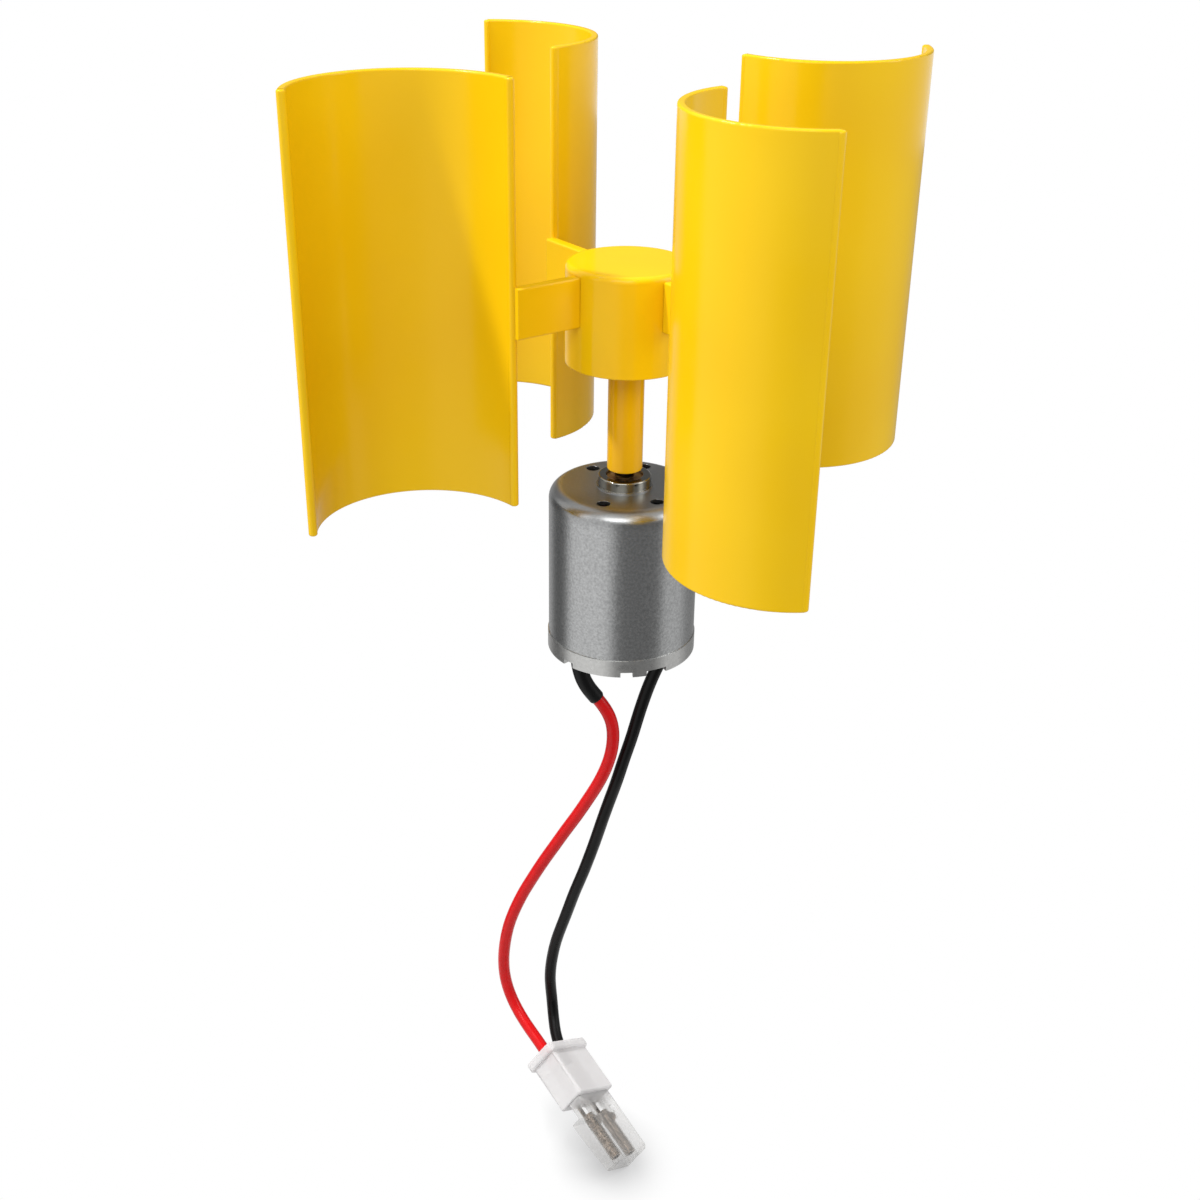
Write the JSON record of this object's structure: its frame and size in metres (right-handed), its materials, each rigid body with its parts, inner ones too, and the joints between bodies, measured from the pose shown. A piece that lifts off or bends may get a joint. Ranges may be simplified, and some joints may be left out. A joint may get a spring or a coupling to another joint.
{
  "type": "wind turbine generator kit",
  "caption": "Upright-axis wind rotor with half-pipe blades on arms, on the shaft of a small motor used as a generator, with a wired plug.",
  "frame": {"origin": "middle of the motor's front face, on the shaft's axis", "axes": "+Z along the shaft from the motor up to the rotor, +X and +Y along the rows of the face holes, -Y on the side of the terminals"},
  "size_m": [0.0988, 0.0988, 0.1962],
  "materials": {
    "can_steel": "satin",
    "cover_steel": "satin",
    "bell_plastic": "matt",
    "bronze": "satin",
    "magnet": "matt",
    "spring_steel": "satin",
    "tinned": "satin",
    "spring_copper": "satin",
    "ground_steel": "polished",
    "collar_steel": "satin",
    "washer_plastic": "matt",
    "core_steel": "satin",
    "winding": "satin",
    "barrel_plastic": "matt",
    "bars_copper": "satin",
    "stem_yellow": "gloss",
    "hub_yellow": "gloss",
    "blade_yellow": "gloss",
    "sleeve_black": "satin",
    "wire_red": "satin",
    "wire_black": "satin",
    "plug_nylon": "satin"
  },
  "bodies": {
    "motor": {"motor_can": "can_steel", "end_cover": "cover_steel", "end_bell": "bell_plastic", "front_bush": "bronze", "rear_bush": "bronze", "magnet_1": "magnet", "magnet_2": "magnet", "magnet_clip": "spring_steel", "terminal_1": "tinned", "terminal_2": "tinned", "brush_1": "spring_copper", "brush_2": "spring_copper", "red_sleeve": "sleeve_black", "red_wire": "wire_red", "black_wire": "wire_black", "plug_housing": "plug_nylon", "contact_1": "tinned", "contact_2": "tinned"},
    "rotor": {"shaft": "ground_steel", "shaft_collar": "collar_steel", "thrust_washers": "washer_plastic", "armature_core": "core_steel", "coil_1": "winding", "coil_2": "winding", "coil_3": "winding", "commutator_barrel": "barrel_plastic", "commutator_bars": "bars_copper", "rotor_stem": "stem_yellow", "rotor_hub": "hub_yellow", "blade_1": "blade_yellow", "blade_2": "blade_yellow", "blade_3": "blade_yellow", "blade_4": "blade_yellow"}
  },
  "joints": [
    {"name": "rotor_spin", "type": "hinge", "parent": "motor", "child": "rotor", "pos_m": [0, 0, 0], "axis": [0, 0, 1], "continuous": true}
  ]
}
